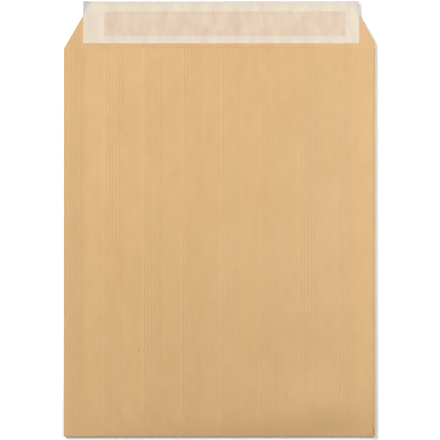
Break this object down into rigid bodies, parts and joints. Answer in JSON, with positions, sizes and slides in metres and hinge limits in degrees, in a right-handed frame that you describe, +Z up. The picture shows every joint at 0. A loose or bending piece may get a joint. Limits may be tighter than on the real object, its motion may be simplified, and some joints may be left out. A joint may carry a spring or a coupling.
{
  "type": "kraft envelope",
  "caption": "Large flat kraft paper pocket envelope lying on its front, with the seal flap opened out and its adhesive band covered by a translucent release liner.",
  "frame": {"origin": "under the middle of the whole outline, on the surface that the envelope lies on", "axes": "+Y from the bottom fold to the seal flap, +Z up out of the back panel, +X to the right as the back is seen"},
  "size_m": [0.305, 0.4262, 0.0054],
  "materials": {
    "kraft_paper": "machine-finished ribbed kraft, matt",
    "adhesive": "hot-melt rubber adhesive, tacky",
    "glassine": "silicone-coated glassine, translucent, satin"
  },
  "bodies": {
    "root": {"kraft_envelope": "kraft_paper", "adhesive_band": "adhesive", "release_liner": "glassine"}
  },
  "joints": []
}
